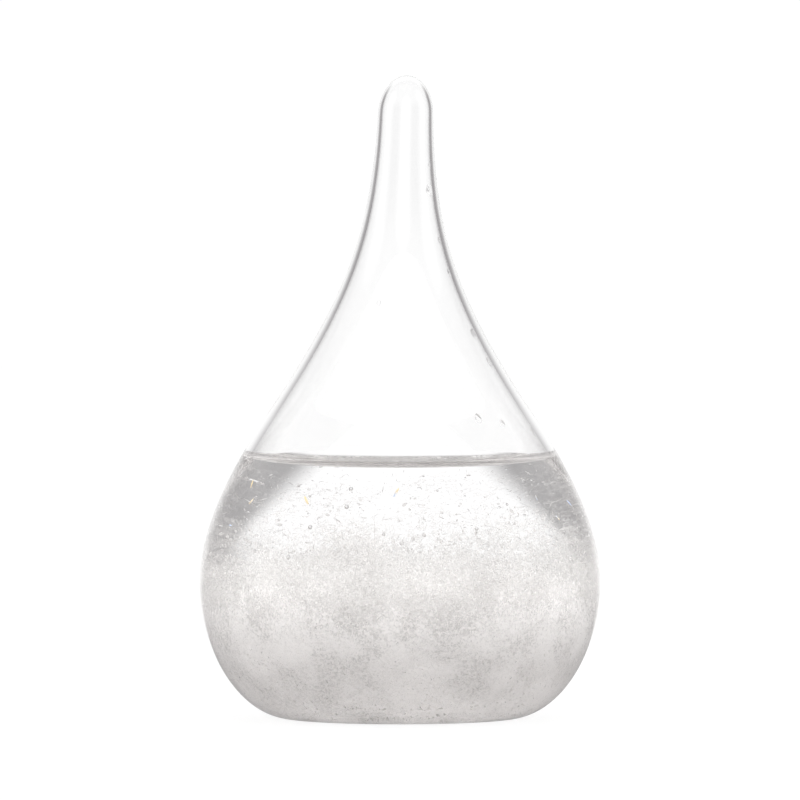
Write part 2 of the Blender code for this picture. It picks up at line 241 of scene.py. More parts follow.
def lean(z, full_height):
    """How far the neck's axis has moved towards +X at a height."""
    share = np.clip((z - SHOULDER_HEIGHT) / (full_height - SHOULDER_HEIGHT), 0, 1)
    return TIP_LEAN * share**LEAN_POWER


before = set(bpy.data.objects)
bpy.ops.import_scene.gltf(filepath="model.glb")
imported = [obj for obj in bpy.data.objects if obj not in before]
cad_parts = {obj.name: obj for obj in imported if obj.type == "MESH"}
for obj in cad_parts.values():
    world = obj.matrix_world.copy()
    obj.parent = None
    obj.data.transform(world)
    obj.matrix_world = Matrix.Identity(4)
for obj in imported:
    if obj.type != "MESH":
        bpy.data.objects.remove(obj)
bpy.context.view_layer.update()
for cad_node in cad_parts.values():
    cad_node.select_set(False)

glass_low, glass_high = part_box("glass_drop")
HEIGHT = glass_high[2] - glass_low[2]
BULB_RADIUS = (glass_high[1] - glass_low[1]) / 2
OUTSIDE = outer_outline(HEIGHT, BULB_RADIUS)
INSIDE = inner_outline(OUTSIDE, HEIGHT)
INSIDE_HEIGHTS = np.array([point.y for point in INSIDE])
INSIDE_RADII = np.array([point.x for point in INSIDE])


def inner_radius(z):
    return np.interp(z, INSIDE_HEIGHTS, INSIDE_RADII)


# ---------------------------------------------------------------- materials


def new_material(name):
    made = bpy.data.materials.new(name)
    made.use_nodes = True
    nodes = made.node_tree.nodes
    return made, nodes, made.node_tree.links, nodes["Principled BSDF"]


def clear_material(name, ior):
    """A clear material with a faint waviness and hue. It refracts against what lies outside its surface."""
    made, nodes, links, shader = new_material(name)
    waves = speckle(nodes, links, 1 / WAVE_WIDTH, 1.0)
    tint = mix_colour(nodes, links, waves, (1.0, 1.0, 1.0), (0.997, 0.997, 0.998))
    links.new(tint, shader.inputs["Base Color"])
    shader.inputs["Roughness"].default_value = 0.0
    bump(nodes, links, shader, waves, WAVE_HEIGHT)
    shader.inputs["IOR"].default_value = ior
    shader.inputs["Transmission Weight"].default_value = 1.0
    return made


# ---------------------------------------------------------------- turned pieces


def turned(name, outline, materials):
    """An outline of (radius, height) spun about Z into a closed solid, leaned with the neck."""
    bpy.ops.object.select_all(action="DESELECT")
    bpy.ops.mesh.primitive_circle_add(vertices=3, radius=BULB_RADIUS)
    obj = bpy.context.active_object
    obj.name = obj.data.name = name
    work = bmesh.new()
    verts = [work.verts.new((point[0], 0, point[1])) for point in outline]
    for first, second in zip(verts, verts[1:]):
        work.edges.new((first, second))
    bmesh.ops.spin(
        work,
        geom=work.verts[:] + work.edges[:],
        cent=(0, 0, 0),
        axis=(0, 0, 1),
        angle=2 * math.pi,
        steps=TURN_STEPS,
        use_merge=True,
    )
    bmesh.ops.remove_doubles(work, verts=work.verts, dist=0.0005 * MM)
    bmesh.ops.recalc_face_normals(work, faces=work.faces)
    for vertex in work.verts:
        vertex.co.x += lean(vertex.co.z, HEIGHT)
    work.to_mesh(obj.data)
    work.free()
    obj.data.materials.clear()
    for made in materials:
        obj.data.materials.append(made)
    obj.data.shade_smooth()
    obj.data.set_sharp_from_angle(angle=math.radians(40))
    return obj


def make_glass():
    outside = [point for point, _ in reversed(OUTSIDE)]
    foot = [
        (RECESS_RADIUS + FIRE_POLISH, 0),
        (RECESS_RADIUS, FIRE_POLISH),
        (RECESS_RADIUS, RECESS_DEPTH),
        (FILL_HOLE_RADIUS + FIRE_POLISH, RECESS_DEPTH),
        (FILL_HOLE_RADIUS, RECESS_DEPTH + FIRE_POLISH),
        (FILL_HOLE_RADIUS, FLOOR - FIRE_POLISH),
        (FILL_HOLE_RADIUS + FIRE_POLISH, FLOOR),
    ]
    contact = LIQUID_LEVEL + MENISCUS_RISE
    low = [point for point in INSIDE if point.y < contact]
    high = [point for point in INSIDE if point.y > contact]
    inside = [*low, Vector((inner_radius(contact), contact)), *high]
    dry = clear_material("clear_glass", GLASS)
    wet = clear_material("wetted_glass", GLASS / WATER_AND_SPIRIT)
    glass = turned("glass_wall", [*outside, *foot, *inside], [dry, wet])
    for face in glass.data.polygons:
        centre = face.center
        radius = math.hypot(centre.x, centre.y)
        within = radius < inner_radius(centre.z) + 0.2 * MM and centre.z > FLOOR - 0.01 * MM
        if within and centre.z < contact:
            face.material_index = 1
    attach(glass, "bottle")
    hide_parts("glass_drop")


def meniscus(rim_radius):
    """The liquid's surface near the wall as (radius, height), in the curve that surface tension gives."""

    def reach(rise):
        share = rise / CAPILLARY_LENGTH
        return CAPILLARY_LENGTH * (math.acosh(2 / share) - math.sqrt(4 - share**2))

    found = []
    for i in range(MENISCUS_STEPS + 1):
        rise = MENISCUS_RISE * 0.01 ** (1 - i / MENISCUS_STEPS)
        found.append((rim_radius + reach(MENISCUS_RISE) - reach(rise), LIQUID_LEVEL + rise))
    return found


def make_liquid():
    rim = LIQUID_LEVEL + MENISCUS_RISE
    climb = meniscus(inner_radius(rim) - FILM)
    side = [(p.x - FILM, p.y) for p in reversed(INSIDE) if FLOOR + FILM < p.y < rim]
    floor = FLOOR + FILM
    floor_edge = inner_radius(floor) - FILM
    pocket = [
        (floor_edge, floor),
        (SHANK_POCKET_RADIUS, floor),
        (SHANK_POCKET_RADIUS, SHANK_POCKET_TOP),
        (0, SHANK_POCKET_TOP),
    ]
    surface = clear_material("liquid_surface", WATER_AND_SPIRIT)
    side_material = clear_material("liquid_side", 1.0)
    liquid = turned("liquid_body", [(0, LIQUID_LEVEL), *climb, *side, *pocket], [surface, side_material])
    for face in liquid.data.polygons:
        centre = face.center
        radius = math.hypot(centre.x, centre.y)
        if centre.z < LIQUID_LEVEL - 0.01 * MM or radius > inner_radius(centre.z) - 0.05 * MM:
            face.material_index = 1
    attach(liquid, "bottle")
    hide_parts("storm_liquid")


# ---------------------------------------------------------------- light, floor and camera


def panel_group():
    """Where the white panels stand: four of them round the drop, with dim gaps between.

    It takes a direction or a place and puts out 1 towards a panel and 0 in a gap.
    """
    group = bpy.data.node_groups.new("studio_panels", "ShaderNodeTree")
    group.interface.new_socket("Towards", in_out="INPUT", socket_type="NodeSocketVector")
    group.interface.new_socket("Panel", in_out="OUTPUT", socket_type="NodeSocketFloat")
    nodes, links = group.nodes, group.links
    start = nodes.new("NodeGroupInput")
    end = nodes.new("NodeGroupOutput")
    split = nodes.new("ShaderNodeSeparateXYZ")
    bearing = nodes.new("ShaderNodeMath")
    bearing.operation = "ARCTAN2"
    quarters = nodes.new("ShaderNodeMath")
    quarters.operation = "MULTIPLY"
    quarters.inputs[1].default_value = 4.0
    wave = nodes.new("ShaderNodeMath")
    wave.operation = "COSINE"
    edge = nodes.new("ShaderNodeMapRange")
    edge.interpolation_type = "SMOOTHSTEP"
    edge.inputs["From Min"].default_value = math.cos(4 * PANEL_FADES_OUT)
    edge.inputs["From Max"].default_value = math.cos(4 * PANEL_FADES_FROM)
    links.new(start.outputs[0], split.inputs[0])
    links.new(split.outputs["Y"], bearing.inputs[0])
    links.new(split.outputs["X"], bearing.inputs[1])
    links.new(bearing.outputs[0], quarters.inputs[0])
    links.new(quarters.outputs[0], wave.inputs[0])
    links.new(wave.outputs[0], edge.inputs["Value"])
    links.new(edge.outputs["Result"], end.inputs[0])
    return group


def mix_colour(nodes, links, factor, first, second):
    """A colour between two, as the factor runs from 0 to 1. Each is a colour or another node's socket."""
    mix = nodes.new("ShaderNodeMix")
    mix.data_type = "RGBA"
    for socket, colour in zip((mix.inputs["A"], mix.inputs["B"]), (first, second)):
        if isinstance(colour, (tuple, list)):
            socket.default_value = (*colour, 1)
        else:
            links.new(colour, socket)
    links.new(factor, mix.inputs["Factor"])
    return mix.outputs["Result"]


def calculate(nodes, links, operation, *values):
    """A Math node on these values, each a number or another node's socket."""
    node = nodes.new("ShaderNodeMath")
    node.operation = operation
    for socket, value in zip(node.inputs, values):
        if isinstance(value, (int, float)):
            socket.default_value = value
        else:
            links.new(value, socket)
    return node.outputs[0]


def fade(nodes, links, value, start, end):
    """0 up to start and 1 from end on, with a soft run between; start may be the larger."""
    node = nodes.new("ShaderNodeMapRange")
    node.interpolation_type = "SMOOTHSTEP"
    low, high = min(start, end), max(start, end)
    node.inputs["From Min"].default_value = low
    node.inputs["From Max"].default_value = high
    node.inputs["To Min"].default_value = 0.0 if start < end else 1.0
    node.inputs["To Max"].default_value = 1.0 if start < end else 0.0
    links.new(value, node.inputs["Value"])
    return node.outputs["Result"]


def make_world(panels):
    """The studio for light that passes through the glass, a fill for matt surfaces, plain white behind."""
    world = bpy.data.worlds.new("studio")
    bpy.context.scene.world = world
    world.use_nodes = True
    nodes, links = world.node_tree.nodes, world.node_tree.links
    nodes.clear()
    coords = nodes.new("ShaderNodeTexCoord")
    towards = coords.outputs["Generated"]
    bearing = nodes.new("ShaderNodeGroup")
    bearing.node_tree = panels
    links.new(towards, bearing.inputs["Towards"])
    split = nodes.new("ShaderNodeSeparateXYZ")
    links.new(towards, split.inputs[0])
    up = split.outputs["Z"]
    low = fade(nodes, links, up, math.sin(PANEL_TOP_FADES_OUT), math.sin(PANEL_TOP_FADES_FROM))
    lit = calculate(nodes, links, "MULTIPLY", bearing.outputs["Panel"], low)
    high = fade(nodes, links, up, math.sin(OVERHEAD_FADES_FROM), math.sin(OVERHEAD_FADES_OUT))
    sides = mix_colour(nodes, links, lit, DIM, WHITE)
    whole = mix_colour(nodes, links, high, sides, OVERHEAD)
    path = nodes.new("ShaderNodeLightPath")
    spread = calculate(nodes, links, "MINIMUM", path.outputs["Diffuse Depth"], 1)
    studio = nodes.new("ShaderNodeBackground")
    fill = mix_colour(nodes, links, bearing.outputs["Panel"], FILL_BETWEEN, FILL)
    links.new(mix_colour(nodes, links, spread, whole, fill), studio.inputs["Color"])
    backdrop = nodes.new("ShaderNodeBackground")
    backdrop.inputs["Color"].default_value = (*WHITE, 1)
    choose = nodes.new("ShaderNodeMixShader")
    links.new(path.outputs["Is Camera Ray"], choose.inputs["Fac"])
    links.new(studio.outputs[0], choose.inputs[1])
    links.new(backdrop.outputs[0], choose.inputs[2])
    out = nodes.new("ShaderNodeOutputWorld")
    links.new(choose.outputs[0], out.inputs["Surface"])


def make_floor(panels):
    """A white table. Through the glass it looks dim near the drop and in the gaps between panels."""
    bpy.ops.object.select_all(action="DESELECT")
    bpy.ops.mesh.primitive_plane_add(size=6.0, location=(0, 0, -TABLE_DROP))
    floor = bpy.context.active_object
    floor.name = "light_table"
    made, nodes, links, shader = new_material("light_table")
    shader.inputs["Base Color"].default_value = TABLE_COLOUR
    shader.inputs["Roughness"].default_value = 1.0
    shader.inputs["Specular IOR Level"].default_value = 0.0
    coords = nodes.new("ShaderNodeTexCoord")
    place = coords.outputs["Object"]
    bearing = nodes.new("ShaderNodeGroup")
    bearing.node_tree = panels
    links.new(place, bearing.inputs["Towards"])
    split = nodes.new("ShaderNodeSeparateXYZ")
    links.new(place, split.inputs[0])
    x = calculate(nodes, links, "ABSOLUTE", split.outputs["X"])
    y = calculate(nodes, links, "ABSOLUTE", split.outputs["Y"])
    most = calculate(nodes, links, "MAXIMUM", x, y)
    least = calculate(nodes, links, "MINIMUM", x, y)
    out = calculate(nodes, links, "MULTIPLY_ADD", least, -TABLE_LIT_SLANT, most)
    lit = fade(nodes, links, out, TABLE_LIT_FROM, TABLE_LIT_FROM * 1.3)
    lit = calculate(nodes, links, "MULTIPLY", lit, bearing.outputs["Panel"])
    away = nodes.new("ShaderNodeVectorMath")
    away.operation = "LENGTH"
    links.new(place, away.inputs[0])
    under = fade(nodes, links, away.outputs["Value"], 1.1 * FOOT_RADIUS, 0.9 * FOOT_RADIUS)
    lit = calculate(nodes, links, "MAXIMUM", lit, under)
    path = nodes.new("ShaderNodeLightPath")
    lit = calculate(nodes, links, "MAXIMUM", lit, path.outputs["Is Camera Ray"])
    dim = [TABLE_DIM * value for value in DIM]
    white = [TABLE_WHITE * value for value in WHITE]
    spread = calculate(nodes, links, "MINIMUM", path.outputs["Diffuse Depth"], 1)
    table = mix_colour(nodes, links, lit, dim, white)
    links.new(mix_colour(nodes, links, spread, table, FILL), shader.inputs["Emission Color"])
    shader.inputs["Emission Strength"].default_value = 1.0
    floor.data.materials.append(made)


def make_camera():
    data = bpy.data.cameras.new("camera")
    camera = bpy.data.objects.new("camera", data)
    bpy.context.scene.collection.objects.link(camera)
    camera.location = (0, -EYE_DISTANCE, EYE_HEIGHT)
    aim = Vector((0, 0, AIM_HEIGHT))
    camera.rotation_euler = (aim - camera.location).to_track_quat("-Z", "Y").to_euler()
    data.sensor_width = 36
    data.lens = data.sensor_width * (aim - camera.location).length / VIEW_WIDTH
    data.clip_start = 0.01
    bpy.context.scene.camera = camera


def set_look():
    scene = bpy.context.scene
    scene.view_settings.view_transform = "Standard"
    scene.cycles.max_bounces = LIGHT_BOUNCES
    scene.cycles.glossy_bounces = LIGHT_BOUNCES
    scene.cycles.transmission_bounces = LIGHT_BOUNCES
    scene.cycles.transparent_max_bounces = LIGHT_BOUNCES


# ---------------------------------------------------------------- crystals


def lumps(rng, size, waves=24):
    """A field of soft lumps of about that size, mostly within -1 and 1: plane waves in all directions."""
    turns = rng.normal(size=(waves, 3))
    turns *= 2 * math.pi / size / np.linalg.norm(turns, axis=1, keepdims=True)
    turns *= rng.uniform(0.6, 1.6, (waves, 1))
    phases = rng.uniform(0, 2 * math.pi, waves)

    def field(places):
        return np.sin(places @ turns.T + phases).sum(axis=1) / math.sqrt(waves)

    return field


def model_needle():
    """A double-pointed crystal with four sides, one unit long and one across."""
    bpy.ops.object.select_all(action="DESELECT")
    bpy.ops.mesh.primitive_cone_add(
        vertices=4, radius1=0.5, radius2=0, depth=0.5, end_fill_type="NOTHING", location=(0, 0, 0.25)
    )
    return closed_point(bpy.context.active_object)


def model_grain():
    """A stubby crystal: five sides between two blunt ends."""
    bpy.ops.object.select_all(action="DESELECT")
    bpy.ops.mesh.primitive_cone_add(
        vertices=5, radius1=0.5, radius2=0.2, depth=0.5, end_fill_type="TRIFAN", location=(0, 0, 0.25)
    )
    obj = bpy.context.active_object
    bpy.ops.object.mode_set(mode="EDIT")
    bpy.ops.mesh.select_all(action="DESELECT")
    bpy.ops.object.mode_set(mode="OBJECT")
    for face in obj.data.polygons:
        face.select = face.normal.z < -0.9
    bpy.ops.object.mode_set(mode="EDIT")
    bpy.ops.mesh.extrude_region_move(TRANSFORM_OT_translate={"value": (0.06, 0.04, -0.4)})
    bpy.ops.transform.resize(value=(0.45, 0.35, 1))
    bpy.ops.object.mode_set(mode="OBJECT")
    return obj


def model_plate():
    """A six-sided plate with bevelled faces."""
    bpy.ops.object.select_all(action="DESELECT")
    bpy.ops.mesh.primitive_cylinder_add(vertices=6, radius=0.5, depth=0.16, end_fill_type="NGON")
    obj = bpy.context.active_object
    bpy.ops.object.mode_set(mode="EDIT")
    bpy.ops.mesh.select_all(action="DESELECT")
    bpy.ops.object.mode_set(mode="OBJECT")
    for face in obj.data.polygons:
        face.select = abs(face.normal.z) > 0.9
    bpy.ops.object.mode_set(mode="EDIT")
    bpy.ops.mesh.inset(thickness=0.12, depth=0.04)
    bpy.ops.object.mode_set(mode="OBJECT")
    return obj


def closed_point(obj):
    """Draws the open ring of a cone down into a second point."""
    bpy.ops.object.mode_set(mode="EDIT")
    bpy.ops.mesh.select_mode(type="VERT")
    bpy.ops.mesh.select_all(action="DESELECT")
    bpy.ops.object.mode_set(mode="OBJECT")
    for vertex in obj.data.vertices:
        vertex.select = vertex.co.z < -0.24
    bpy.ops.object.mode_set(mode="EDIT")
    bpy.ops.mesh.extrude_region_move(TRANSFORM_OT_translate={"value": (0, 0, -0.5)})
    bpy.ops.mesh.merge(type="CENTER")
    bpy.ops.object.mode_set(mode="OBJECT")
    return obj


def taken_shape(obj):
    """A model's points and triangles as arrays. The model itself is removed."""
    only(obj)
    bpy.ops.object.transform_apply(location=True, rotation=True, scale=True)
    bpy.ops.object.mode_set(mode="EDIT")
    bpy.ops.mesh.select_all(action="SELECT")
    bpy.ops.mesh.normals_make_consistent(inside=False)
    bpy.ops.mesh.quads_convert_to_tris()
    bpy.ops.object.mode_set(mode="OBJECT")
    points = np.array([vertex.co[:] for vertex in obj.data.vertices])
    points -= (points.max(axis=0) + points.min(axis=0)) / 2
    points /= np.ptp(points, axis=0)
    triangles = np.array([face.vertices[:] for face in obj.data.polygons])
    bpy.data.objects.remove(obj, do_unlink=True)
    return points, triangles


def turns_along(rng, axes):
    """A rotation for each axis that lays a shape's Z along it, at a random roll."""
    axes = axes / np.linalg.norm(axes, axis=1, keepdims=True)
    aside = np.cross(axes, rng.normal(size=axes.shape))
    aside /= np.linalg.norm(aside, axis=1, keepdims=True)
    return np.stack([aside, np.cross(axes, aside), axes], axis=2)


def joined_copies(name, shape, places, turns, sizes, kinds, materials):
    """One mesh object of many copies of a shape, each with its place, turn, size and material."""
    points, triangles = shape
    placed = np.einsum("nij,nkj->nki", turns, points[None] * sizes[:, None, :]) + places[:, None, :]
    corners = triangles[None] + (np.arange(len(places)) * len(points))[:, None, None]
    corner_count = corners.size
    mesh = bpy.data.meshes.new(name)
    mesh.vertices.add(placed.shape[0] * placed.shape[1])
    mesh.vertices.foreach_set("co", placed.reshape(-1))
    mesh.loops.add(corner_count)
    mesh.loops.foreach_set("vertex_index", corners.reshape(-1))
    mesh.polygons.add(corner_count // 3)
    mesh.polygons.foreach_set("loop_start", np.arange(0, corner_count, 3))
    mesh.polygons.foreach_set("material_index", np.repeat(kinds, len(triangles)))
    mesh.update(calc_edges=True)
    for made in materials:
        mesh.materials.append(made)
    obj = bpy.data.objects.new(name, mesh)
    bpy.context.scene.collection.objects.link(obj)
    return obj


def in_reach(places, axes, lengths, margin=0.07 * MM):
    """The places moved in from the wall so that both ends of each crystal stay clear of it.

    A crystal that would still touch the floor, the plug's shank or the surface is left out.
    """
    places = places.copy()
    for end in (-0.5, 0.5, -0.5, 0.5):
        tips = places + axes * (lengths * end)[:, None]
        out = np.hypot(tips[:, 0], tips[:, 1])
        over = np.maximum(0, out - (inner_radius(tips[:, 2]) - margin))
        places[:, :2] -= (over / np.maximum(out, 1e-6))[:, None] * tips[:, :2]
    low = places[:, 2] - np.abs(axes[:, 2]) * lengths / 2
    high = places[:, 2] + np.abs(axes[:, 2]) * lengths / 2
    out = np.hypot(places[:, 0], places[:, 1])
    clear = (low > FLOOR + margin) & (high < LIQUID_LEVEL - margin)
    clear &= (out - lengths / 2 > SHANK_POCKET_RADIUS + margin) | (low > SHANK_POCKET_TOP + margin)
    return places, clear


def settled_height(rng, count, scale, top):
    """Random heights that thin out upwards, by that scale, as far as a top."""
    reach = 1 - math.exp(-(top - FLOOR) / scale)
    return FLOOR - scale * np.log(1 - reach * rng.uniform(0, 1, count))


def grow(rng, name, shape, count, where, lengths, slimness, flatness, clear_share, materials):
    """Scatters crystals of one shape through the liquid as one piece.

    Where says how they lie: how fast they thin out upwards, how deep in from the wall they reach as
    a share of the radius, how strongly they gather in lumps, and how far they lie along the wall.
    """
    heights = settled_height(rng, count, where["scale"], where["top"])
    bearings = rng.uniform(0, 2 * math.pi, count)
    depth = rng.uniform(0, 1, count) ** where["hug"]
    out = inner_radius(heights) * np.sqrt(1 - depth * where["depth"])
    places = np.stack([out * np.cos(bearings), out * np.sin(bearings), heights], axis=1)
    field = lumps(rng, where["lump"])(places) + 0.6 * lumps(rng, where["lump"] / 3)(places)
    keep = field > rng.normal(where["thin"], 0.5, count)
    places, bearings = places[keep], bearings[keep]
    count = len(places)
    axes = rng.normal(size=(count, 3))
    outward = np.stack([np.cos(bearings), np.sin(bearings), np.zeros(count)], axis=1)
    axes -= outward * (axes * outward).sum(axis=1, keepdims=True) * where["lie"]
    axes /= np.linalg.norm(axes, axis=1, keepdims=True)
    size = lengths[0] * (lengths[1] / lengths[0]) ** rng.beta(1.2, 2.2, count)
    places, clear = in_reach(places, axes, size)
    places, axes, size = places[clear], axes[clear], size[clear]
    count = len(places)
    across = size * rng.uniform(*slimness, count)
    sizes = np.stack([across, across * rng.uniform(*flatness, count), size], axis=1)
    kinds = (rng.uniform(0, 1, count) > clear_share).astype(int)
    piece = joined_copies(name, shape, places, turns_along(rng, axes), sizes, kinds, materials)
    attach(piece, "bottle")


def frost_group():
    """How light packed crystals are: painted shade that greys them towards the foot, soft clouds of tone,
    and a fine grain.

    It puts out the colour, the grain by itself, and how thickly the crystals lie at a height.
    """
    group = bpy.data.node_groups.new("frost_tone_and_shade", "ShaderNodeTree")
    group.interface.new_socket("Grain Scale", in_out="INPUT", socket_type="NodeSocketFloat")
    group.interface.new_socket("Colour", in_out="OUTPUT", socket_type="NodeSocketColor")
    group.interface.new_socket("Grain", in_out="OUTPUT", socket_type="NodeSocketFloat")
    group.interface.new_socket("Cover", in_out="OUTPUT", socket_type="NodeSocketFloat")
    nodes, links = group.nodes, group.links
    start = nodes.new("NodeGroupInput")
    end = nodes.new("NodeGroupOutput")
    coords = nodes.new("ShaderNodeTexCoord")
    split = nodes.new("ShaderNodeSeparateXYZ")
    links.new(coords.outputs["Object"], split.inputs[0])
    height = split.outputs["Z"]
    clouds = fade(nodes, links, speckle(nodes, links, CLOUD_SCALE, 3.0), 0.35, 0.65)
    fine = speckle(nodes, links, 1.0, 3.0)
    grain_noise = fine.node
    grain_noise.inputs["Distortion"].default_value = 1.2
    links.new(start.outputs["Grain Scale"], grain_noise.inputs["Scale"])
    grain = fade(nodes, links, fine, 0.32, 0.68)
    # painted shade: the crystals are painted greyer low down and near white higher up
    low = mix_colour(nodes, links, clouds, FROST_SHADED_DARK, FROST_SHADED_LIGHT)
    high = mix_colour(nodes, links, clouds, FROST_UNSHADED_DARK, FROST_UNSHADED_LIGHT)
    rise = fade(nodes, links, height, PAINTED_SHADE_FADES_FROM, PAINTED_SHADE_FADES_TO)
    tone = mix_colour(nodes, links, rise, low, high)
    light = mix_colour(nodes, links, grain, (0.93, 0.93, 0.93), (1.0, 1.0, 1.0))
    both = nodes.new("ShaderNodeMix")
    both.data_type = "RGBA"
    both.blend_type = "MULTIPLY"
    both.inputs["Factor"].default_value = 1.0
    links.new(tone, both.inputs["A"])
    links.new(light, both.inputs["B"])
    links.new(both.outputs["Result"], end.inputs["Colour"])
    links.new(grain, end.inputs["Grain"])
    thick = fade(nodes, links, height, FROST_TOP, FROST_FULL)
    spread = calculate(nodes, links, "MULTIPLY_ADD", clouds, 0.3, -0.15)
    links.new(calculate(nodes, links, "ADD", thick, spread), end.inputs["Cover"])
    return group


def speckle(nodes, links, scale, detail):
    """A noise over the object's own space."""
    coords = nodes.new("ShaderNodeTexCoord")
    noise = nodes.new("ShaderNodeTexNoise")
    noise.inputs["Scale"].default_value = scale
    noise.inputs["Detail"].default_value = detail
    links.new(coords.outputs["Object"], noise.inputs["Vector"])
    return noise.outputs["Fac"]


def bump(nodes, links, shader, height, distance):
    node = nodes.new("ShaderNodeBump")
    node.inputs["Distance"].default_value = distance
    links.new(height, node.inputs["Height"])
    links.new(node.outputs["Normal"], shader.inputs["Normal"])


def frost(nodes, links, grain_scale):
    """The frost tone group, placed in a material."""
    node = nodes.new("ShaderNodeGroup")
    node.node_tree = FROST_TONE_AND_SHADE
    node.inputs["Grain Scale"].default_value = grain_scale
    return node.outputs


def frosted_material(name, grain_scale, roughness, relief):
    """A material in the frost's tone with its painted shade, its grain in relief and the glow of light
    inside it.
    """
    made, nodes, links, shader = new_material(name)
    tone = frost(nodes, links, grain_scale)
    links.new(tone["Colour"], shader.inputs["Base Color"])
    links.new(tone["Colour"], shader.inputs["Emission Color"])
    shader.inputs["Emission Strength"].default_value = FROST_GLOW
    shader.inputs["Roughness"].default_value = roughness
    bump(nodes, links, shader, tone["Grain"], relief)
    return made, tone


def frost_material():
    """The finest crystals, as a dust that thins out upwards."""
    made, tone = frosted_material("frost", 2600.0, 0.5, 0.04 * MM)
    nodes, links = made.node_tree.nodes, made.node_tree.links
    laid = calculate(nodes, links, "MULTIPLY_ADD", tone["Grain"], 0.4, tone["Cover"])
    alpha = fade(nodes, links, laid, 0.25, 1.15)
    alpha = calculate(nodes, links, "MULTIPLY", alpha, 0.9)
    links.new(alpha, nodes["Principled BSDF"].inputs["Alpha"])
    return made


def make_frost():
    """Thin layers of the finest crystals, one inside the other, from the floor up."""
    made = frost_material()
    for number, depth in enumerate(FROST_DEPTHS, 1):
        heights = np.linspace(FLOOR + 0.3 * MM, FROST_TOP + 1.5 * MM, 24)
        outer = [(inner_radius(z) - depth, z) for z in heights]
        inner = [(radius - 0.05 * MM, z) for radius, z in reversed(outer)]
        layer = turned(f"frost_{number}", [*outer, *inner, outer[0]], [made])
        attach(layer, "bottle")


def make_crystals():
    rng = np.random.default_rng(SEED)
    needle = taken_shape(model_needle())
    grain = taken_shape(model_grain())
    plate = taken_shape(model_plate())
    clear = clear_material("clear_crystal", CRYSTAL / WATER_AND_SPIRIT)
    white, _ = frosted_material("white_crystal", 900.0, 0.35, 0.02 * MM)
    materials = [clear, white]
    deep = dict(scale=7 * MM, top=24 * MM, depth=0.85, hug=1.0, lump=8 * MM, thin=-0.2, lie=0.3)
    grow(rng, "deep_snow", grain, 9000, deep, (0.2 * MM, 0.6 * MM), (0.5, 1), (0.5, 1), 0.3, materials)
    for number in range(1, len(FERN_FACINGS) + 1):
        make_fern(number, needle, materials)
    for number in range(1, RAFTS + 1):
        make_raft(number, needle, plate, materials)
    low = dict(scale=7 * MM, top=24 * MM, depth=0.4, hug=2.2, lump=7 * MM, thin=-0.3, lie=0.7)
    mid = dict(scale=12 * MM, top=30 * MM, depth=0.4, hug=2.6, lump=6 * MM, thin=0.3, lie=0.8)
    wall = dict(scale=14 * MM, top=30 * MM, depth=0.02, hug=1.0, lump=5 * MM, thin=0.5, lie=1.0)
    for name, shape, count, where, shortest, longest, slimness, flatness, clear_share in (
        ("settled_needles", needle, 40000, low, 0.2, 0.9, (0.08, 0.2), (0.5, 1), 0.5),
        ("settled_grains", grain, 10000, low, 0.1, 0.32, (0.5, 1), (0.5, 1), 0.5),
        ("drifting_needles", needle, 20000, mid, 0.2, 1.1, (0.06, 0.14), (0.5, 1), 0.6),
        ("drifting_plates", plate, 5000, mid, 0.03, 0.08, (3, 6), (0.6, 1), 0.7),
        ("wall_needles", needle, 16000, wall, 0.2, 1.3, (0.05, 0.12), (0.4, 0.8), 0.75),
        ("wall_grains", grain, 9000, wall, 0.08, 0.3, (0.5, 1), (0.5, 1), 0.6),
    ):
        lengths = (shortest * MM, longest * MM)
        grow(rng, name, shape, count, where, lengths, slimness, flatness, clear_share, materials)
    make_clumps(rng, plate, materials)
    make_glints(rng, plate)


def make_clumps(rng, plate, materials):
    """White tufts of crossed plates low down on the wall."""
    centres = np.radians(np.concatenate([CLUMP_BEARINGS, rng.uniform(0, 360, CLUMPS)]))
    heights = np.concatenate([np.array(CLUMP_HEIGHTS) * MM, rng.uniform(4 * MM, 16 * MM, CLUMPS)])
    bearings = np.repeat(centres, PLATES_PER_CLUMP)
    bearings += rng.normal(0, 0.045, len(bearings))
    z = np.repeat(heights, PLATES_PER_CLUMP)
    z += rng.normal(0, 0.7 * MM, len(z))
    z = np.maximum(z, FLOOR + 0.6 * MM)
    out = inner_radius(z) - rng.uniform(0.15 * MM, 1.2 * MM, len(z))
    places = np.stack([out * np.cos(bearings), out * np.sin(bearings), z], axis=1)
    axes = rng.normal(size=places.shape)
    axes /= np.linalg.norm(axes, axis=1, keepdims=True)
    length = rng.uniform(0.12 * MM, 0.5 * MM, len(z))
    places, clear = in_reach(places, axes, length)
    places, axes, length = places[clear], axes[clear], length[clear]
    sizes = np.stack([length, 0.6 * length, 0.15 * length], axis=1)
    kinds = (rng.uniform(0, 1, len(length)) > 0.2).astype(int)
    tufts = joined_copies(
        "white_tufts", plate, places, turns_along(rng, axes), sizes, kinds, materials
    )
    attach(tufts, "bottle")


def glint_material():
    """Plates tinted and glowing as painted glints of split light: amber in some places and blue in others.
    """
    made, nodes, links, shader = new_material("glint_crystal")
    hue = fade(nodes, links, speckle(nodes, links, 260.0, 1.0), 0.42, 0.58)
    colour = mix_colour(nodes, links, hue, (1.0, 0.80, 0.45), (0.70, 0.80, 1.0))
    links.new(colour, shader.inputs["Base Color"])
    # painted glint: the plates glow in their tint
    links.new(colour, shader.inputs["Emission Color"])
    shader.inputs["Emission Strength"].default_value = 0.35
    shader.inputs["Roughness"].default_value = 0.15
    return made


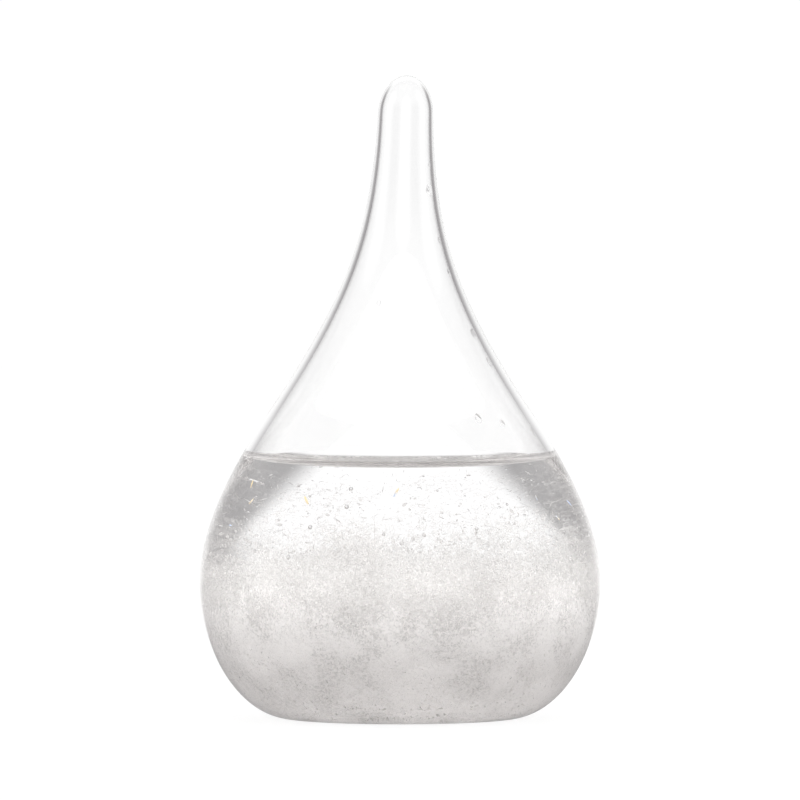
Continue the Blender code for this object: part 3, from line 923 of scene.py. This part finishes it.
def make_glints(rng, plate):
    """A few larger plates near the surface, with painted glints of coloured light."""
    bearings = np.radians(np.concatenate([GLINT_BEARINGS, rng.uniform(0, 360, GLINTS)]))
    heights = np.concatenate([np.array(GLINT_HEIGHTS) * MM, rng.uniform(18 * MM, 29 * MM, GLINTS)])
    out = inner_radius(heights) - 0.7 * MM
    places = np.stack([out * np.cos(bearings), out * np.sin(bearings), heights], axis=1)
    axes = np.stack([np.cos(bearings), np.sin(bearings), 0.3 + 0 * bearings], axis=1)
    length = rng.uniform(0.3 * MM, 0.7 * MM, len(heights))
    sizes = np.stack([length * 2, length * 0.5, 0.1 * length], axis=1)
    kinds = np.zeros(len(length), dtype=int)
    glints = joined_copies(
        "glints", plate, places, turns_along(rng, axes), sizes, kinds, [glint_material()]
    )
    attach(glints, "bottle")


def make_bed():
    """The settled crystals as one lumpy mass, with a pocket round the plug's shank."""
    rng = np.random.default_rng(SEED + 1)
    floor = FLOOR + 0.8 * MM
    gap = 1.6 * MM
    edge = inner_radius(BED_DEPTH) - gap
    top = [(edge * i / BED_STEPS, BED_DEPTH) for i in range(BED_STEPS)]
    heights = np.linspace(BED_DEPTH, floor, BED_STEPS)
    side = [(inner_radius(z) - gap, z) for z in heights]
    pocket_radius = SHANK_POCKET_RADIUS + FILM
    pocket_top = SHANK_POCKET_TOP + FILM
    pocket = [(pocket_radius, floor), (pocket_radius, pocket_top), (0, pocket_top)]
    packed, _ = frosted_material("packed_crystal", 1500.0, 0.6, 0.1 * MM)
    bed = turned("settled_bed", [*top, *side, *pocket], [packed])
    count = len(bed.data.vertices)
    places = np.empty(count * 3)
    bed.data.vertices.foreach_get("co", places)
    places = places.reshape(-1, 3)
    out = np.hypot(places[:, 0], places[:, 1])
    coarse = lumps(rng, 7 * MM)(places)
    fine = lumps(rng, 2 * MM)(places)
    swell = np.clip(0.5 + 0.35 * coarse + 0.15 * fine, 0, 1)
    outside = out > pocket_radius + 1 * MM
    on_side = outside & (places[:, 2] > floor + FILM)
    inward = BED_DENT * (1 - swell) * on_side
    places[:, :2] *= (1 - inward / np.maximum(out, 1 * MM))[:, None]
    height_share = np.clip((places[:, 2] - pocket_top) / (BED_DEPTH - pocket_top), 0, 1)
    places[:, 2] -= BED_SAG * (1 - swell) * height_share
    bed.data.vertices.foreach_set("co", places.reshape(-1))
    bed.data.update()
    bed.data.shade_smooth()
    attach(bed, "bottle")
    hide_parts("crystal_bed")


def make_fern(number, needle, materials):
    """A feather crystal: a stem, two rows of branches and their own short twigs, all of needles."""
    low, high = (np.array(corner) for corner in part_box(f"crystal_fern_{number}"))
    facing = math.radians(FERN_FACINGS[number - 1])
    tall = high[2] - low[2]
    across = np.array([math.cos(facing), math.sin(facing), 0])
    up = np.array([0, 0, 1])
    starts, ends = [low * 0], [up * tall]
    pitch = tall / (FERN_BRANCHES + 2)
    for i in range(FERN_BRANCHES):
        root = up * pitch * (i + 0.8)
        length = (tall - root[2]) * 0.4
        for side in (-1, 1):
            along = across * side * math.sin(BRANCH_ANGLE) + up * math.cos(BRANCH_ANGLE)
            starts.append(root)
            ends.append(root + along * length)
            twigs = int(length / FERN_TWIG_PITCH)
            for j in range(1, twigs):
                twig_root = root + along * length * j / twigs
                for lean_way in (-1, 1):
                    twig = along * math.cos(BRANCH_ANGLE) + lean_way * math.sin(BRANCH_ANGLE) * (
                        up * math.sin(BRANCH_ANGLE) - across * side * math.cos(BRANCH_ANGLE)
                    )
                    starts.append(twig_root)
                    ends.append(twig_root + twig * (length - length * j / twigs) * 0.4)
    starts, ends = np.array(starts), np.array(ends)
    middle = (low + high) / 2
    base = np.array([middle[0], middle[1], low[2]])
    axes = ends - starts
    size = np.linalg.norm(axes, axis=1)
    rng = np.random.default_rng(SEED + 10 + number)
    thick = np.clip(0.05 * size, 0.04 * MM, 0.14 * MM)
    sizes = np.stack([thick, thick * 0.6, size], axis=1)
    kinds = (rng.uniform(0, 1, len(size)) > 0.4).astype(int)
    places = base + (starts + ends) / 2
    fern = joined_copies(
        f"feather_{number}", needle, places, turns_along(rng, axes), sizes, kinds, materials
    )
    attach(fern, "bottle")
    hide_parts(f"crystal_fern_{number}")


def make_raft(number, needle, plate, materials):
    """A raft of small plates and needles that floats where the frame has a surface crystal."""
    rng = np.random.default_rng(SEED + 20 + number)
    low, high = (np.array(corner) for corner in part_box(f"surface_crystal_{number}"))
    middle = (low + high) / 2
    for name, shape, count, size in (("plates", plate, 22, 0.7 * MM), ("needles", needle, 16, 1.3 * MM)):
        spots = middle + rng.normal(size=(count, 3)) * np.array([1.7 * MM, 1.0 * MM, 0.05 * MM])
        out = np.hypot(spots[:, 0], spots[:, 1])
        reach = inner_radius(LIQUID_LEVEL) - 3.5 * MM
        spots[:, :2] *= np.minimum(1, reach / out)[:, None]
        spots[:, 2] = LIQUID_LEVEL + 0.12 * MM + rng.uniform(0, 0.15 * MM, count)
        length = size * rng.uniform(0.4, 1.0, count)
        if shape is plate:
            axes = np.array([0, 0, 1]) + 0.25 * rng.normal(size=(count, 3))
            sizes = np.stack([length, length * 0.7, 0.08 * MM + 0 * length], axis=1)
        else:
            axes = rng.normal(size=(count, 3)) * np.array([1, 1, 0.12])
            sizes = np.stack([0.12 * length, 0.1 * length, length], axis=1)
        kinds = (rng.uniform(0, 1, count) > 0.5).astype(int)
        raft = joined_copies(
            f"raft_{number}_{name}", shape, spots, turns_along(rng, axes), sizes, kinds, materials
        )
        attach(raft, "bottle")
        if shape is plate:
            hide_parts(f"surface_crystal_{number}")


def make_bubbles():
    """Small round bubbles caught among the crystals."""
    rng = np.random.default_rng(SEED + 40)
    bpy.ops.object.select_all(action="DESELECT")
    bpy.ops.mesh.primitive_uv_sphere_add(segments=12, ring_count=8, radius=0.5)
    shape = taken_shape(bpy.context.active_object)
    bearings = np.concatenate([np.radians(BUBBLE_BEARINGS), rng.uniform(0, 2 * math.pi, BUBBLES)])
    heights = np.concatenate([np.array(BUBBLE_HEIGHTS) * MM, rng.uniform(8 * MM, 29 * MM, BUBBLES)])
    out = inner_radius(heights) - rng.uniform(0.5 * MM, 1.5 * MM, len(heights))
    places = np.stack([out * np.cos(bearings), out * np.sin(bearings), heights], axis=1)
    size = rng.uniform(0.3 * MM, 0.62 * MM, len(heights))
    size[len(BUBBLE_HEIGHTS):] *= 0.7
    axes = np.tile([0.0, 0.0, 1.0], (len(size), 1))
    made = clear_material("bubble", 1 / WATER_AND_SPIRIT)
    bubbles = joined_copies(
        "bubbles",
        shape,
        places,
        turns_along(rng, axes),
        np.stack([size, size, size], axis=1),
        np.zeros(len(size), dtype=int),
        [made],
    )
    bubbles.data.shade_smooth()
    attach(bubbles, "bottle")


def make_droplets():
    """Beads of condensation that sit on the inside of the neck, flat at the back and bulging in front."""
    made = clear_material("condensation", WATER)
    for number in range(1, DROPLETS + 1):
        name = f"neck_droplet_{number}"
        low, high = (np.array(corner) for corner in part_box(name))
        middle = (low + high) / 2
        axis = lean(middle[2], HEIGHT)
        bearing = math.atan2(middle[1], middle[0] - axis)
        half = (high[2] - low[2]) / 2
        bpy.ops.object.select_all(action="DESELECT")
        bpy.ops.mesh.primitive_uv_sphere_add(segments=32, ring_count=20, radius=1.0)
        bead = bpy.context.active_object
        bead.name = bead.data.name = f"bead_of_water_{number}"
        bpy.ops.object.mode_set(mode="EDIT")
        bpy.ops.mesh.bisect(plane_co=(0.35, 0, 0), plane_no=(1, 0, 0), clear_outer=True, use_fill=True)
        bpy.ops.object.mode_set(mode="OBJECT")
        rng = np.random.default_rng(SEED + 50 + number)
        wobble = lumps(rng, 1.6)
        for vertex in bead.data.vertices:
            vertex.co *= 1 + 0.06 * wobble(np.array([vertex.co[:]]))[0]
        wide = 0.75 * half
        deep = 0.42 * half
        # The flat back follows the wall, a film's width inside it.
        turn = Matrix.Rotation(bearing, 3, "Z")
        for vertex in bead.data.vertices:
            across, tall = vertex.co.y * wide, vertex.co.z * half
            z = middle[2] + tall - 0.15 * half * (1 - vertex.co.z**2)
            wall = inner_radius(z) - 0.02 * MM
            back = math.sqrt(max(wall**2 - across**2, 0))
            place = turn @ Vector((back - (0.35 - vertex.co.x) * deep, across, 0))
            vertex.co = (place.x + lean(z, HEIGHT), place.y, z)
        bead.data.update()
        bead.data.materials.append(made)
        bead.data.shade_smooth()
        bead.data.set_sharp_from_angle(angle=math.radians(50))
        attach(bead, "bottle")
        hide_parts(name)


def silicone_material(name, colour, roughness, transmission):
    """Clear rubber with a faint bloom on it."""
    made, nodes, links, shader = new_material(name)
    bloom = speckle(nodes, links, 700.0, 4.0)
    dusty = [0.9 * value for value in colour]
    links.new(mix_colour(nodes, links, bloom, dusty, colour), shader.inputs["Base Color"])
    shader.inputs["Roughness"].default_value = roughness
    shader.inputs["IOR"].default_value = SILICONE
    shader.inputs["Transmission Weight"].default_value = transmission
    bump(nodes, links, shader, bloom, 0.03 * MM)
    return made


def finish_foot():
    """The plug and its bead of sealant, which keep the frame's shapes."""
    for name, made in (
        ("fill_stopper", silicone_material("clear_silicone", (0.86, 0.86, 0.85), 0.35, 0.3)),
        ("sealant_bead", silicone_material("clear_sealant", (0.88, 0.88, 0.86), 0.12, 0.5)),
    ):
        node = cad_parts[name]
        for slot in node.material_slots:
            slot.material = made


studio_panels = panel_group()
make_world(studio_panels)
make_floor(studio_panels)
make_camera()
set_look()
make_glass()
make_liquid()
FROST_TONE_AND_SHADE = frost_group()
make_crystals()
make_frost()
make_bed()
make_bubbles()
make_droplets()
finish_foot()
